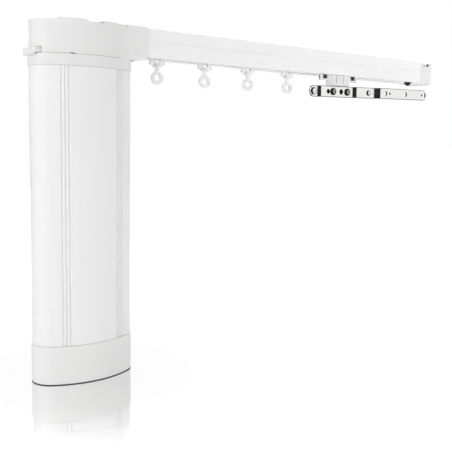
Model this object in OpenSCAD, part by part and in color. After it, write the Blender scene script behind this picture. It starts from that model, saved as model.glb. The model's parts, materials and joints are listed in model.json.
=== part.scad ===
// Motorised curtain track. A gear motor hangs below one end of a slotted track. Its toothed belt runs
// inside the track and draws a master carrier with an overlap arm, and swivel-eye gliders follow it.
// The origin is the middle of the track's top face. +X runs along the track, away from the motor,
// -Y is the room side and +Z points to the ceiling. All sizes are in millimetres.

/* [Track] */
// Length of the track extrusion
track_l = 371; // [330:1:700]
// Width of the track
track_w = 28; // [27:0.5:36]
// Height of the track
track_h = 22; // [21:0.5:28]
// Wall of the track
track_wall = 1.5; // [1.2:0.1:2]
// Thickness of the two lips that the runners ride on
lip_t = 1.6; // [1.2:0.1:2.2]
// Width of the slot between the lips
slot_w = 7; // [6.5:0.25:8]
// Drop of the groove line on each side below the top of the track
groove_drop = 10; // [7:0.5:14]
// Width of the groove line
groove_w = 1; // [0.6:0.1:1.6]
// Depth of the groove line
groove_d = 0.5; // [0.2:0.1:0.8]
// How far each side draws in between the groove line and the top
draw_in = 0.4; // [0.1:0.1:0.8]
// Height of the two belt guide ribs under the top wall
guide_rib_h = 1.6; // [1:0.1:2]

/* [Motor] */
// Length of the motor's oval outline, along the track
motor_l = 84.2; // [78:0.2:100]
// Depth of the motor's oval outline, across the track
motor_d = 47.2; // [45:0.2:56]
// Radius of the oval's two round ends
end_r = 17; // [15:0.1:20]
// Height of the motor from its base to the top of its collar
motor_h = 250; // [235:1:320]
// Height of the bottom cap
cap_h = 29.9; // [24:0.1:40]
// Height of the top collar
collar_h = 8.2; // [7:0.1:12]
// Wall of the extruded sleeve
sleeve_wall = 1.8; // [1.4:0.1:2.2]
// How far the cap and the collar stand proud of the sleeve
proud = 0.5; // [0.2:0.1:0.8]
// Wall of the moulded cap and collar
mould_wall = 2.2; // [1.8:0.1:2.8]
// Distance of each set of flutes from the motor's axis
flute_x = 23; // [18:0.2:26]
// Spacing of the flutes in a set
flute_pitch = 2.6; // [2:0.1:3.2]
// Radius of a flute
flute_r = 0.8; // [0.4:0.1:0.9]
// Number of flutes in a set
flute_count = 3; // [1:1:4]

/* [Gear motor] */
// Diameter of the gearbox
gearbox_d = 36; // [32:0.5:36.5]
// Length of the gearbox
gearbox_l = 46; // [36:1:52]
// Diameter of the motor can
can_d = 35; // [30:0.5:36]
// Length of the motor can
can_l = 90; // [70:1:95]
// Diameter of the output shaft
shaft_d = 8; // [7:0.25:9]
// Width across the flats of the shaft's hexagon tip
hex_af = 6; // [5:0.25:6.5]
// Height of the control board
board_h = 70; // [50:1:74]
// Width of the control board
board_w = 52; // [40:1:56]

/* [Housing] */
// How far the drive housing sits inside the motor's outline
housing_inset = 1.2; // [0.4:0.1:1.4]
// Wall of the drive housing
housing_wall = 2; // [1.6:0.1:2.4]
// Height of the two ceiling pads on the housing
pad_h = 1.6; // [1.2:0.1:2]
// Width of the clip channel between the pads
clip_w = 12.2; // [10:0.2:16]
// Length of the pad on the motor side of the channel
pad_l = 20.2; // [14:0.2:26]
// Depth of the undercut that holds the ceiling clip
undercut_d = 1.4; // [0.8:0.1:2]
// How far the track reaches into the housing's round end
track_set = 4.1; // [3:0.1:6]
// Length of track held in the neck
neck_grip = 13; // [10:0.5:20]
// How far the neck stands proud of the track's sides
neck_proud = 1; // [0.8:0.1:2]
// Thickness of the neck's floor
neck_floor = 2.6; // [2.2:0.1:3.4]
// Depth of the relief on the track's top inside the neck
neck_relief = 0.3; // [0.2:0.1:0.5]

/* [Belt drive] */
// Width of the belt
belt_w = 6; // [5:0.5:7]
// Thickness of the belt's back
belt_t = 1; // [0.8:0.1:1.2]
// Spacing of the belt's teeth
belt_pitch = 5; // [4.8:0.1:5.2]
// Height of a belt tooth
belt_tooth_h = 1.2; // [0.8:0.1:1.4]
// Teeth on each pulley
pulley_teeth = 10; // [9:1:11]
// Thickness of a pulley flange
flange_t = 0.8; // [0.6:0.1:1]
// Diameter of the drive pulley's lower hub
hub_d = 12; // [11:0.5:13]
// Diameter of the drive pulley's upper stub
stub_d = 6; // [5:0.5:7]
// Diameter of the return pulley's axle
return_axle_d = 4; // [3:0.5:5]

/* [Motor latch] */
// Width of the latch's finger tab
latch_w = 20; // [16:0.5:22]
// Thickness of the latch plate
latch_t = 3.3; // [2.6:0.1:4]
// Travel of the latch, outwards
latch_travel = 7; // [6.5:0.5:8]
// How far the finger tab reaches past the motor
tab_reach = 1.4; // [1:0.1:6]
// Distance of the motor's two studs from its axis
stud_x = 20; // [19:0.25:21]
// Diameter of a stud's neck
stud_d = 5; // [4:0.25:5.5]
// Diameter of a stud's head
stud_head_d = 9; // [8:0.25:9.5]

/* [Gliders] */
// Distance of the first glider from the motor's axis
glider_first = 70.3; // [66:0.5:80]
// Spacing of the gliders
glider_pitch = 49.7; // [30:0.1:52]
// Length of a glider along the track
glider_l = 14.2; // [13:0.2:16]
// Width of a glider's posts along the track
post_w = 4.2; // [3.5:0.1:4.4]
// Depth of a glider's posts across the track
post_d = 1.8; // [1.4:0.1:3]
// Width of the glider's head across the track
head_w = 15; // [12:0.5:18]
// Outside diameter of the eye
eye_d = 10.7; // [10:0.1:13]
// Hole of the eye
eye_hole = 5; // [4.5:0.1:6.4]
// Thickness of the eye
eye_t = 3; // [2:0.1:3.6]
// Turn of each eye from the track's line, in degrees
eye_turn = 15; // [0:1:30]
// Drop of the eye's centre below the track
eye_hang = 15.1; // [14.4:0.1:20]

/* [Master carrier] */
// Distance of the carrier from the motor's axis
carrier_at = 278.9; // [270:0.5:290]
// Length of the carrier's front plate
carrier_l = 52; // [51:0.2:60]
// Height of the carrier's front plate
plate_h = 5.7; // [5:0.1:8]
// Thickness of the carrier's front plate
plate_t = 1.8; // [1.5:0.1:3]
// How far the front plate stands back from the track's side
plate_back = 1; // [0:0.1:2]
// Length of the web that holds the arm
web_l = 28; // [27:0.5:29]
// Thickness of the web
web_t = 5.3; // [4.5:0.1:6]
// Distance between the carrier's two axles
wheel_base = 30; // [28:0.5:34]
// Diameter of a wheel axle
axle_d = 3; // [2.5:0.1:3.2]
// Width of a wheel
wheel_w = 3; // [2:0.1:3.4]

/* [Overlap arm] */
// Height of the arm's strip
arm_h = 10.7; // [10:0.1:14]
// Thickness of the arm's strip
arm_t = 1.6; // [1.2:0.1:2.5]
// Upward set of the arm, which offsets its sag under the curtain
arm_rise = 1; // [0:0.1:2]
// Drop of the arm's two screws below the track
arm_drop = 16.3; // [16:0.1:20]
// Spacing of the arm's two screws
arm_screw_pitch = 20.5; // [19.5:0.1:21]
// Reach of the arm from the middle of its screws towards the motor
arm_tail = 39.9; // [38:0.1:44]
// Reach of the arm from the middle of its screws away from the motor
arm_reach = 130.2; // [129:0.1:150]
// Bend angle of the arm's three joggles
bend_angle = 53; // [40:1:65]
// Step of the first joggle, towards the room
step_1 = 3; // [1:0.1:4]
// Step of the second joggle, towards the room
step_2 = 3.3; // [1:0.1:5]
// Step of the third joggle, towards the room
step_3 = 5.2; // [1:0.1:7]
// Diameter of the three hook holes at the arm's end
hook_d = 4.8; // [4:0.1:5.4]
// Distance of the last hook hole from the arm's end
hook_end = 4.8; // [4.2:0.1:8]
// Diameter of the two small pilot holes
pilot_d = 2.4; // [1.6:0.1:2.8]

/* [End cap] */
// Length of the end cap
end_cap_l = 17.2; // [17:0.1:24]
// How far the end cap stands proud of the track's sides
end_cap_proud = 0.5; // [0.2:0.1:1]
// Depth of the recess in the end cap's top
cap_recess = 3.8; // [1.5:0.1:4]
// Roof of the end cap above the return pulley
cap_roof = 1.2; // [1:0.1:2]
// Wall of the end cap
end_cap_wall = 1.6; // [1.2:0.1:2.2]

/* [Hidden] */
$fn = 72;

// Clearances: a running fit, a gap between moving pieces, a seat within one body, and a screw in its hole
fit_gap = 0.06;
run_gap = 0.3;
seat_gap = 0.1;
screw_gap = 0.4;
press_gap = 0.04;
// Overshoot of a cut, and the overlap that merges two forms of one piece
over = 1;
root = 0.5;

// Places along the track
half_l = motor_l / 2;
half_d = motor_d / 2;
motor_x = -track_l / 2 - half_l + track_set;
track_start = -track_l / 2;
track_end = track_l / 2;
carrier_x = motor_x + carrier_at;

// Levels of the housing and the motor
track_floor = -track_h;
lip_z = track_floor + lip_t;
base_bottom = track_floor - seat_gap;
base_plate_t = 2.2;
base_top = base_bottom + base_plate_t;
latch_top = base_bottom - run_gap;
latch_bottom = latch_top - latch_t;
collar_top = latch_bottom - run_gap;
sleeve_top = collar_top - collar_h;
motor_base = collar_top - motor_h;
sleeve_bottom = motor_base + cap_h;
housing_top = -pad_h;
housing_roof = housing_top - housing_wall;

// Oval of four arcs: two long arcs front and back, tangent to two round ends
end_c = half_l - end_r;
side_r = (half_d * half_d + end_c * end_c - end_r * end_r) / (2 * (half_d - end_r));
side_c = side_r - half_d;
tangent_x = end_c * side_r / (side_r - end_r);
// The round ends are this much fuller, so that they cross the long arcs cleanly
end_blend = 0.03;
inner_inset = proud + sleeve_wall;
housing_in = housing_inset + housing_wall;

// Belt and pulleys
belt_gap = 0.2;
flange_rim = 0.7;
pitch_r = pulley_teeth * belt_pitch / (2 * PI);
belt_in_r = pitch_r - belt_t / 2;
belt_out_r = pitch_r + belt_t / 2;
pulley_r = belt_in_r - run_gap;
flange_r = belt_out_r + flange_rim;
cap_top = -end_cap_proud - seat_gap;
roof_z = cap_top - cap_recess;
belt_z = roof_z - cap_roof - run_gap - flange_t - belt_gap - belt_w / 2;
pulley_top = belt_z + belt_w / 2 + belt_gap + flange_t;
pulley_bottom = belt_z - belt_w / 2 - belt_gap - flange_t;
belt_floor = belt_z - belt_w / 2;
return_x = track_end + end_cap_l - end_cap_wall - 2 * run_gap - flange_r;
// Half widths of a belt tooth and of a pulley's tooth gap, at root and tip
tooth_root = 0.285 * belt_pitch;
tooth_tip = 0.175 * belt_pitch;
gap_root = 0.18 * belt_pitch;
gap_tip = 0.28 * belt_pitch;
tooth_start = motor_x + flange_r + belt_pitch;
tooth_count = 1 + floor((return_x - motor_x - 2 * flange_r - 2 * belt_pitch) / belt_pitch);

// Screws: head heights, and the thread that holds beyond a piece
head_h = 1.5;
thread_l = 10;
// Height taken off a domed head's crown
crown_flat = 0.03;

// Gear motor stack, hung from the underside of the collar's plate
collar_plate_t = 3.5;
gearbox_top = collar_top - collar_plate_t;
gearbox_bottom = gearbox_top - gearbox_l;
gearbox_lid = 6;
gear_rib_d = 1.6;
gear_screw_d = 2.4;
gear_screw_y = 13;
gear_screw_l = 8;
shaft_seat = 14;
can_bottom = gearbox_bottom - can_l;
bell_h = 4;
bell_in = 3;
vent_w = 6;
vent_z = 10;
vent_depth = 1;
terminal_w = 3;
terminal_t = 0.8;
terminal_l = 5;
terminal_y = 8;
ring_h = 8;
upper_ring = 14;
lower_ring = 20;
ring_hole = 8;
spigot_l = 8;
spigot_t = 2;
spigot_root = 3;
port_d = 6.4;
port_x = half_l - inner_inset - port_d / 2 + screw_gap;
port_screw_d = 3;

// Base of the motor
floor_t = 2.8;
floor_z = motor_base + floor_t;
board_y = 10;
board_t = 1.6;
guide_w = 5;
guide_d = 2.6;
switch_h = 4;
switch_w = 6;
button_d = 5;
button_collar_w = 1.2;
button_set = 0.4;
button_travel = 0.8;
button_x = 14;
button_collar_h = 1;
button_top = floor_z + seat_gap + button_collar_h;
switch_z = button_top + button_travel + run_gap;
board_bottom = switch_z + switch_h;
lamp_x = 4;
lamp_d = 3;
lamp_set = 0.2;
lamp_collar_w = 0.8;
lamp_collar_h = 1.2;
inlet_x = -14;
inlet_y = -4;
inlet_w = 12;
inlet_d = 8;
inlet_h = 12;
inlet_wall = 1.6;
inlet_set = 0.3;
flange_plate_t = 2;
contact_pitch = 3;
contact_w = 1;
contact_d = 3;
contact_l = 10;
contact_in = 4;

// Parts on the board: size along, out of and up the board, and their places as shares of the board
capacitor_d = 12;
capacitor_l = 16;
capacitor_at = [[-0.54, 0.69], [0.08, 0.69]];
block_size = [[14, 14, 18], [16, 9, 12], [12, 2, 10]];
block_at = [[0.65, 0.61], [-0.54, 0.42], [0.15, 0.27]];

// Bushes of the drive pulley
bush_wall = 2.4;
bush_h = 3.4;
bush_set = 0.4;
bush_floor = base_top + bush_set;
hub_bottom = bush_floor + run_gap;
stub_bush_h = 2.4;
stub_bush_z = pulley_top + run_gap;
hex_start = base_bottom + root;

// Drive housing
boss_d = 6.4;
boss_x = 14;
boss_y = 14.6;
boss_screw_d = 2.6;
boss_screw_l = 8;
boss_hole_l = 9;
seat_wall = 2;
neck_w = track_w + 2 * neck_proud;
neck_top = 1;
neck_round = 1.2;
neck_lead = 4.5;
neck_start = half_l - track_set - neck_lead;
neck_end = half_l - track_set + neck_grip;
neck_bottom = track_floor - neck_floor;
// The flare leaves the housing's long arc where a line from the neck's corner just cuts it
flare_bite = 0.05;
flare_r = side_r - housing_inset - flare_bite;
flare_reach = norm([neck_start, neck_w / 2 + side_c]);
flare_at = atan2(neck_start, neck_w / 2 + side_c) - acos(flare_r / flare_reach);
clip_x = 0.7;
window_w = latch_w + 3 * run_gap;
pry_x = -17.3;
pry_l = 4.2;
pry_h = 0.8;
passage_side = 2;

// Latch
tail_w = 14;
tail_lap = 2;
tail_end = 7;
slot_gap = 2 * run_gap;
tab_end = -half_l - tab_reach;
tab_round = 2;
tab_raise = 0.5;
tab_lip = 1.7;
tab_root = 7;
stud_shank_d = stud_d - 1;
stud_head_h = 2;

// Wheels and belt clamp of the carrier
wheel_room = 1.5;
wheel_r = (belt_floor - lip_z - wheel_room) / 2;
axle_z = lip_z + seat_gap + wheel_r;
axle_end = 0.4;
chassis_y = slot_w / 2 - root;
chassis_top = belt_floor + over;
chassis_in = 5;
chassis_l = carrier_l - 2 * chassis_in;
wheel_y = chassis_y + 1.3;
clamp_l = 14;
clamp_floor_t = 4.2;
clamp_top = belt_floor - 2 * run_gap;
clamp_gap = 0.4;
clamp_screw_d = 2.4;
clamp_head_d = 4;
clamp_head_h = 0.8;
clamp_z = clamp_top - clamp_floor_t / 2;
jaw_t = 2;
jaw_out = belt_out_r + clamp_gap + jaw_t;

// Front plate and web of the carrier
plate_y = -track_w / 2 + plate_back;
carrier_top = track_floor - run_gap;
plate_round = 0.8;
bridge_t = 3;
bridge_l = 14;
notch_w = 6.9;
notch_h = 3.9;
notch_x = 20.05;
buffer_over = 1.2;
buffer_t = 2.8;
buffer_round = 0.8;
rib_w = 1.4;
rib_x = 4.9;
rib_drop = 7.3;
pad_half = 12;
pad_proud = 0.6;
pad_drop = 9.6;
lug_proud = 0.5;
lug_h = 3;

// Overlap arm, in its own frame: x along the strip from the middle of its screws
arm_z = track_floor - arm_drop;
arm_screw_d = 3.5;
arm_head_d = 7;
arm_head_h = 2.2;
joggle_at = [-29.6, 18.1, 47.5];
joggle_step = [step_1, step_2, step_3];
side_hole_at = [-17.2, 1.3];
side_hole_d = [4.6, 5.4];
hook_first = 59.9;
hook_pitch = (arm_reach - hook_end - hook_first) / 2;
pilot_at = [hook_first + 6.8, arm_reach - hook_end - 4.5];
// The rivet at the tail and the stud between the second and third joggles
rivet_at = [arm_h / 2 - arm_tail, 38.8];
rivet_d = [4, 3.2];
rivet_head_d = [7, 5.4];
rivet_head_h = [2, 1.5];
rivet_tail_w = 0.9;
rivet_tail_h = 1;

// Glider and eye
bar_drop = 2.5;
bar_top = track_floor - bar_drop;
bar_t = 2.1;
bar_bottom = bar_top - bar_t;
bar_taper = 0.6;
wing = 1.25;
wing_z = bar_top - 0.6 * bar_t;
glider_head_h = 3.6;
glider_round = 2;
post_root = 1;
pin_d = 3;
pin_head_d = 5;
pin_head_h = 0.75;
pin_boss_d = 7.4;
swivel_d = 8.2;
swivel_h = 1.3;
swivel_top = bar_bottom - run_gap;
stem_d = 3.8;
eye_z = track_floor - eye_hang;
eye_round = 0.5;

// Fasteners of the track
track_screw_d = 4;
track_screw_in = 7.5;
track_screw_x = track_start + track_screw_in;
track_head_d = 5.5;
track_head_h = 0.9;
nut_l = 10;
nut_w = 12;
nut_h = 3.2;
end_screw_d = 3;
end_screw_in = 16;
end_screw_x = track_end - end_screw_in;
end_screw_y = -(slot_w + track_w) / 4;
washer_d = 8;
washer_t = 1.4;
dome_d = 5.4;
dome_h = 2.4;

// End cap
tongue_l = 22;
tongue_w = 23;
cap_w = track_w + 2 * end_cap_proud;
cap_round = 0.8;
cap_bottom = track_floor - 0.4;
recess_start = 2.4;
recess_end = end_cap_l - 3.8;
cap_floor = pulley_bottom - 1.5;
tongue_top = cap_floor - 0.7;
axle_foot = cap_floor - 6;
foot_l = 2.6;
foot_proud = 0.4;
foot_h = 1;
pin_y = -cap_w / 2 + 2;
end_pin_d = 2.6;
end_pin_l = 2.2;
end_pin_out = 0.3;
pin_z = cap_top - 1.5;

// Shared shapes

// Motor outline, drawn in by an inset
module oval(inset = 0) {
    intersection() {
        translate([0, side_c]) circle(side_r - inset);
        translate([0, -side_c]) circle(side_r - inset);
        square([2 * tangent_x, motor_d], center = true);
    }
    for (s = [-1, 1]) translate([s * (end_c - end_blend), 0]) circle(end_r + end_blend - inset);
}

// Depth of the oval's front at a place along it
function oval_y(x, inset) = sqrt(pow(side_r - inset, 2) - x * x) - side_c;

// Slab of the oval between two levels
module oval_slab(inset, z0, z1) translate([0, 0, z0]) linear_extrude(z1 - z0) oval(inset);

// Upright round bar between two levels
module bar(d, z0, z1) translate([0, 0, z0]) cylinder(d = d, h = z1 - z0);

// Block between two corners
module block(low, high) translate(low) cube(high - low);

// Upright block on a centred rectangle, between two levels
module post(w, d, z0, z1) translate([0, 0, z0]) linear_extrude(z1 - z0) square([w, d], center = true);

// Rectangle with round corners
module round_rect(w, h, r) {
    square([w - 2 * r, h], center = true);
    square([w, h - 2 * r], center = true);
    for (sx = [-1, 1], sy = [-1, 1]) translate([sx * (w / 2 - r), sy * (h / 2 - r)]) circle(r);
}

// Outline drawn across and up, drawn out along the track
module along_x(l) rotate([90, 0, 90]) linear_extrude(l) children();

// Outline drawn along and up, drawn out across the track between two depths
module along_y(y0, y1) translate([0, y1, 0]) rotate([90, 0, 0]) linear_extrude(y1 - y0) children();

// Round bar across the track between two depths
module cross_bar(d, y0, y1) translate([0, y1, 0]) rotate([90, 0, 0]) cylinder(d = d, h = y1 - y0);

module at_motor() translate([motor_x, 0, 0]) children();
module at_carrier() translate([carrier_x, 0, 0]) children();
module at_arm() translate([carrier_x, 0, arm_z]) rotate([0, -arm_rise, 0]) children();
module at_glider(k) translate([motor_x + glider_first + k * glider_pitch, 0, 0]) children();
module both_ends(x) for (s = [-1, 1]) translate([s * x, 0, 0]) children();
module both_sides(y) for (s = [-1, 1]) translate([0, s * y, 0]) children();

// Domed head on the plane z = 0, standing up, with a small flat on its crown
module domed_head(d, h) {
    rise = 0.6 * h;
    crown_r = (d * d / 4 + rise * rise) / (2 * rise);
    rotate_extrude() intersection() {
        translate([0, h + crown_flat - crown_r]) circle(crown_r);
        square([d / 2, h]);
    }
}

// Cross recess for a driver, cut upwards from the plane z = 0
module cross_recess(d) for (turn = [45, 135]) rotate(turn) post(0.54 * d, 0.15 * d, -over, 0.17 * d);

// Screw with its domed head below the plane z = 0 and its shank above
module pan_screw(d, l, head_d, head_h) {
    difference() {
        mirror([0, 0, 1]) domed_head(head_d, head_h);
        translate([0, 0, -head_h]) cross_recess(head_d);
    }
    bar(d, 0, l);
}

// Motor

module spigot(z0, z1) difference() {
    oval_slab(inner_inset + seat_gap, z0, z1);
    oval_slab(inner_inset + seat_gap + spigot_t, z0 - over, z1 + over);
    both_ends(port_x) bar(port_d + 4 * seat_gap, z0 - over, z1 + over);
}

// Ribs on the cap's back wall, with a slot that holds each edge of the board
module board_guides() difference() {
    intersection() {
        oval_slab(proud + root, floor_z - root, sleeve_bottom);
        both_ends(board_w / 2) block([-guide_w / 2, board_y - guide_d, floor_z - root],
            [guide_w / 2, motor_d, sleeve_bottom]);
    }
    block([-board_w / 2 - seat_gap, board_y - board_t / 2 - seat_gap, board_bottom - seat_gap],
        [board_w / 2 + seat_gap, board_y + board_t / 2 + seat_gap, sleeve_bottom + over]);
}

module bottom_cap() color("white") at_motor() {
    difference() {
        oval_slab(0, motor_base, sleeve_bottom);
        oval_slab(mould_wall + proud, floor_z, sleeve_bottom + over);
        both_ends(port_x) bar(port_screw_d + screw_gap, motor_base - over, floor_z + over);
        both_ends(port_x)
            bar(2 * port_screw_d + screw_gap, motor_base - over, motor_base + head_h + seat_gap);
        translate([button_x, board_y, 0]) bar(button_d + 2 * fit_gap, motor_base - over, floor_z + over);
        translate([lamp_x, board_y, 0]) bar(lamp_d + fit_gap, motor_base - over, floor_z + over);
        translate([inlet_x, inlet_y, 0])
            post(inlet_w + 2 * inlet_wall, inlet_d + 2 * inlet_wall, motor_base - over, floor_z + over);
    }
    both_ends(port_x) difference() {
        bar(port_d, floor_z, sleeve_bottom);
        bar(port_screw_d + screw_gap, floor_z - over, sleeve_bottom + over);
    }
    spigot(sleeve_bottom - spigot_root, sleeve_bottom + spigot_l);
    board_guides();
}

module motor_sleeve() color("white") at_motor() {
    difference() {
        oval_slab(proud, sleeve_bottom, sleeve_top);
        oval_slab(inner_inset, sleeve_bottom - over, sleeve_top + over);
        for (side = [-1, 1], set = [-1, 1], k = [0 : flute_count - 1]) {
            x = set * flute_x + (k - (flute_count - 1) / 2) * flute_pitch;
            translate([x, side * oval_y(x, proud), 0])
                bar(2 * flute_r, sleeve_bottom - over, sleeve_top + over);
        }
    }
    both_ends(port_x) difference() {
        bar(port_d, sleeve_bottom, sleeve_top);
        bar(port_screw_d + seat_gap, sleeve_bottom - over, sleeve_top + over);
    }
}

module top_collar() color("white") at_motor() {
    difference() {
        oval_slab(0, sleeve_top, collar_top);
        oval_slab(mould_wall + proud, sleeve_top - over, gearbox_top);
        bar(shaft_d + 4 * run_gap, gearbox_top - over, collar_top + over);
        both_ends(stud_x) bar(stud_shank_d + seat_gap, gearbox_top - over, collar_top + over);
        both_ends(port_x) bar(port_screw_d + screw_gap, gearbox_top - over, collar_top + over);
        both_ends(port_x)
            bar(2 * port_screw_d + screw_gap, collar_top - head_h - seat_gap, collar_top + over);
        both_sides(gear_screw_y) bar(gear_screw_d + screw_gap, gearbox_top - over, collar_top + over);
        both_sides(gear_screw_y)
            bar(2 * gear_screw_d + screw_gap, collar_top - head_h - seat_gap, collar_top + over);
    }
    both_ends(port_x) difference() {
        bar(port_d, sleeve_top, gearbox_top);
        bar(port_screw_d + screw_gap, sleeve_top - over, gearbox_top + over);
    }
    spigot(sleeve_top - spigot_l, sleeve_top + spigot_root);
}

module cap_screws() color("silver") at_motor() both_ends(port_x)
    translate([0, 0, motor_base + head_h + seat_gap])
        pan_screw(port_screw_d, cap_h + thread_l - head_h, 2 * port_screw_d, head_h);

module collar_screws() color("silver") at_motor() both_ends(port_x)
    translate([0, 0, collar_top - head_h - seat_gap]) mirror([0, 0, 1])
        pan_screw(port_screw_d, collar_h + thread_l - head_h, 2 * port_screw_d, head_h);

module gearbox() color("dimgray") at_motor() difference() {
    union() {
        bar(gearbox_d, gearbox_bottom, gearbox_top);
        for (k = [0 : 3]) rotate(45 + 90 * k) translate([gearbox_d / 2, 0, 0])
            bar(gear_rib_d, gearbox_bottom, gearbox_top - gearbox_lid);
    }
    bar(shaft_d + 2 * fit_gap, gearbox_top - shaft_seat, gearbox_top + over);
    both_sides(gear_screw_y) bar(gear_screw_d + seat_gap, gearbox_top - gear_screw_l, gearbox_top + over);
}

module gearbox_screws() color("silver") at_motor() both_sides(gear_screw_y)
    translate([0, 0, collar_top - head_h - seat_gap]) mirror([0, 0, 1])
        pan_screw(gear_screw_d, gear_screw_l, 2 * gear_screw_d, head_h);

module motor_can() color("silver") at_motor() {
    difference() {
        bar(can_d, can_bottom + bell_h, gearbox_bottom);
        for (k = [0 : 3]) rotate(90 * k) block([can_d / 2 - vent_depth, -vent_w / 2, can_bottom + vent_z],
            [can_d, vent_w / 2, can_bottom + vent_z + vent_w]);
    }
    bar(can_d - 2 * bell_in, can_bottom, can_bottom + bell_h);
    both_sides(terminal_y) post(terminal_w, terminal_t, can_bottom - terminal_l, can_bottom);
}

module motor_rings() color("black") at_motor()
    for (z = [gearbox_bottom - upper_ring, can_bottom + lower_ring]) translate([0, 0, z]) difference() {
        oval_slab(inner_inset + seat_gap, -ring_h / 2, ring_h / 2);
        bar(can_d + seat_gap, -ring_h, ring_h);
        both_ends(port_x) bar(port_d + 2 * seat_gap, -ring_h, ring_h);
        both_ends((port_x + can_d / 2) / 2) bar(ring_hole, -ring_h, ring_h);
    }

module control_board() color("darkgreen") at_motor() translate([0, board_y, 0])
    post(board_w, board_t, board_bottom, board_bottom + board_h);

module board_parts() color("dimgray") at_motor() {
    front = board_y - board_t / 2;
    translate([button_x, board_y, 0]) post(switch_w, switch_w, switch_z, board_bottom);
    for (at = capacitor_at) translate([at[0] * board_w / 2, 0, board_bottom + at[1] * board_h])
        cross_bar(capacitor_d, front - capacitor_l, front);
    for (k = [0 : len(block_at) - 1]) {
        x = block_at[k][0] * board_w / 2;
        z = board_bottom + block_at[k][1] * board_h;
        translate([x, front - block_size[k][1] / 2, z]) cube(block_size[k], center = true);
    }
}

module power_inlet() color("black") at_motor() translate([inlet_x, inlet_y, motor_base]) {
    difference() {
        post(inlet_w + 2 * inlet_wall - seat_gap, inlet_d + 2 * inlet_wall - seat_gap,
            inlet_set, inlet_h + inlet_wall);
        post(inlet_w, inlet_d, -over, inlet_h);
        for (k = [-1, 0, 1]) translate([k * contact_pitch, 0, 0])
            post(contact_w + seat_gap, contact_d + seat_gap, inlet_h - over, inlet_h + inlet_wall + over);
    }
    difference() {
        post(inlet_w + 6 * inlet_wall, inlet_d + 4 * inlet_wall, floor_t, floor_t + flange_plate_t);
        post(inlet_w, inlet_d, floor_t - over, floor_t + flange_plate_t + over);
    }
}

module inlet_contacts() color("gold") at_motor() translate([inlet_x, inlet_y, motor_base])
    for (k = [-1, 0, 1]) translate([k * contact_pitch, 0, 0])
        post(contact_w, contact_d, inlet_h - contact_in, inlet_h - contact_in + contact_l);

module setting_button() color("gainsboro") at_motor() translate([button_x, board_y, 0]) {
    bar(button_d, motor_base + button_set, floor_z + seat_gap);
    bar(button_d + 2 * button_collar_w, floor_z + seat_gap, button_top);
}

module status_lamp() color("honeydew") at_motor() translate([lamp_x, board_y, 0]) {
    bar(lamp_d, motor_base + lamp_set, board_bottom - seat_gap);
    bar(lamp_d + 2 * lamp_collar_w, floor_z, floor_z + lamp_collar_h);
}

// Drive train

module output_shaft() color("silver") at_motor() {
    bar(shaft_d, gearbox_top - shaft_seat + over, hex_start);
    translate([0, 0, hex_start]) cylinder(d = hex_af / cos(30), h = belt_z - hex_start, $fn = 6);
}

// Toothed disc of a pulley with its two flanges
module pulley_disc() {
    difference() {
        bar(2 * pulley_r, pulley_bottom + flange_t, pulley_top - flange_t);
        for (k = [0 : pulley_teeth - 1]) rotate(360 / pulley_teeth * k) translate([0, 0, pulley_bottom])
            linear_extrude(pulley_top - pulley_bottom)
                polygon([[pulley_r - belt_tooth_h, -gap_root], [pulley_r + over, -gap_tip],
                    [pulley_r + over, gap_tip], [pulley_r - belt_tooth_h, gap_root]]);
    }
    bar(2 * flange_r, pulley_top - flange_t, pulley_top);
    bar(2 * flange_r, pulley_bottom, pulley_bottom + flange_t);
}

module drive_pulley() color("whitesmoke") at_motor() difference() {
    union() {
        pulley_disc();
        bar(hub_d, hub_bottom, pulley_bottom);
        bar(stub_d, pulley_top, stub_bush_z + stub_bush_h - seat_gap);
    }
    translate([0, 0, hub_bottom - over])
        cylinder(d = (hex_af + 2 * seat_gap) / cos(30), h = belt_z + seat_gap + over - hub_bottom, $fn = 6);
}

function bush_d(bore) = bore + 2 * fit_gap + 2 * bush_wall;

module bush(bore, z0, z1) difference() {
    bar(bush_d(bore), z0, z1);
    bar(bore + 2 * fit_gap, z0 - over, z1 + over);
}

module pulley_bushes() color("peru") at_motor() {
    bush(hub_d, bush_floor, bush_floor + bush_h);
    bush(stub_d, stub_bush_z, stub_bush_z + stub_bush_h);
}

// Drive housing

module at_bosses() for (sx = [-1, 1], sy = [-1, 1]) translate([sx * boss_x, sy * boss_y, 0]) children();

module ceiling_pads() intersection() {
    oval_slab(housing_inset, housing_top - over, 0);
    union() {
        block([clip_x - clip_w / 2 - pad_l, -motor_d, housing_top - over],
            [clip_x - clip_w / 2, motor_d, 0]);
        block([clip_x + clip_w / 2, -motor_d, housing_top - over], [motor_l, motor_d, 0]);
    }
}

module neck_outline() translate([0, (neck_top + neck_bottom) / 2])
    round_rect(neck_w, neck_top - neck_bottom, neck_round);

// Sides that run from the housing's long arcs straight into the neck
module neck_flare() translate([0, 0, collar_top]) linear_extrude(housing_top - collar_top)
    polygon(mirrored_down([[flare_r * sin(flare_at), flare_r * cos(flare_at) - side_c],
        [neck_start, neck_w / 2], [neck_start + over, neck_w / 2]]));

// Pocket of the upper bush
module stub_pocket() bar(bush_d(stub_d) + seat_gap, stub_bush_z - over, stub_bush_z + stub_bush_h);

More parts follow.
